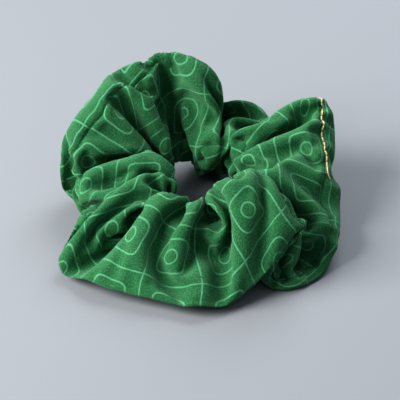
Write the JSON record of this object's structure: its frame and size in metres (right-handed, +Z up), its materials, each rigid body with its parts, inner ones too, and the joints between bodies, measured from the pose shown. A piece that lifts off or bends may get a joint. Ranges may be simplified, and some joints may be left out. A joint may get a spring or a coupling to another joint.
{
  "type": "scrunchie",
  "caption": "Soft cotton hair tie: a gathered printed sleeve on a sewn loop of flat elastic, with a topstitched closing; it stretches open over hair or a wrist.",
  "frame": {"origin": "where the loop's axis meets the table, under the middle of the hole", "axes": "+Z up, along the loop's axis; +X right, the way the loop is stretched; +Y back"},
  "size_m": [0.1165, 0.116, 0.05],
  "materials": {
    "printed_cotton": "plain weave cotton, green, with a thin light-green geometric line print",
    "seam_thread": "green sewing thread",
    "closing_thread": "tan sewing thread",
    "elastic": "braided white elastic"
  },
  "bodies": {
    "right": {"sleeve_right": "printed_cotton", "closing_seam_thread": "closing_thread"},
    "back_right": {"sleeve_back_right": "printed_cotton", "side_seam_thread_back_right": "seam_thread"},
    "back": {"sleeve_back": "printed_cotton", "side_seam_thread_back": "seam_thread", "end_seam_allowance": "printed_cotton", "end_seam_thread": "seam_thread"},
    "back_left": {"sleeve_back_left": "printed_cotton", "side_seam_thread_back_left": "seam_thread"},
    "left": {"sleeve_left": "printed_cotton", "side_seam_thread_left": "seam_thread", "elastic_band": "elastic", "elastic_join_thread": "seam_thread"},
    "front_left": {"sleeve_front_left": "printed_cotton", "side_seam_thread_front_left": "seam_thread"},
    "front": {"sleeve_front": "printed_cotton", "side_seam_thread_front": "seam_thread"},
    "front_right": {"sleeve_front_right": "printed_cotton", "side_seam_thread_front_right": "seam_thread"}
  },
  "joints": [
    {"name": "elastic_stretch", "type": "slide", "parent": "left", "child": "right", "axis": [1, 0, 0], "range_m": [0, 0.08], "stiffness_N_per_m": 90, "deforming": ["elastic_band"]},
    {"name": "back_right_gather_follow", "type": "slide", "parent": "left", "child": "back_right", "axis": [1, 0, 0], "range_m": [0, 0.08]},
    {"name": "back_gather_follow", "type": "slide", "parent": "left", "child": "back", "axis": [1, 0, 0], "range_m": [0, 0.08]},
    {"name": "back_left_gather_follow", "type": "slide", "parent": "left", "child": "back_left", "axis": [1, 0, 0], "range_m": [0, 0.08]},
    {"name": "front_left_gather_follow", "type": "slide", "parent": "left", "child": "front_left", "axis": [1, 0, 0], "range_m": [0, 0.08]},
    {"name": "front_gather_follow", "type": "slide", "parent": "left", "child": "front", "axis": [1, 0, 0], "range_m": [0, 0.08]},
    {"name": "front_right_gather_follow", "type": "slide", "parent": "left", "child": "front_right", "axis": [1, 0, 0], "range_m": [0, 0.08]}
  ],
  "couplings": [
    {"joint": "back_right_gather_follow", "follows": "elastic_stretch", "ratio": 0.8643},
    {"joint": "back_gather_follow", "follows": "elastic_stretch", "ratio": 0.5},
    {"joint": "back_left_gather_follow", "follows": "elastic_stretch", "ratio": 0.1357},
    {"joint": "front_left_gather_follow", "follows": "elastic_stretch", "ratio": 0.1357},
    {"joint": "front_gather_follow", "follows": "elastic_stretch", "ratio": 0.5},
    {"joint": "front_right_gather_follow", "follows": "elastic_stretch", "ratio": 0.8643}
  ]
}
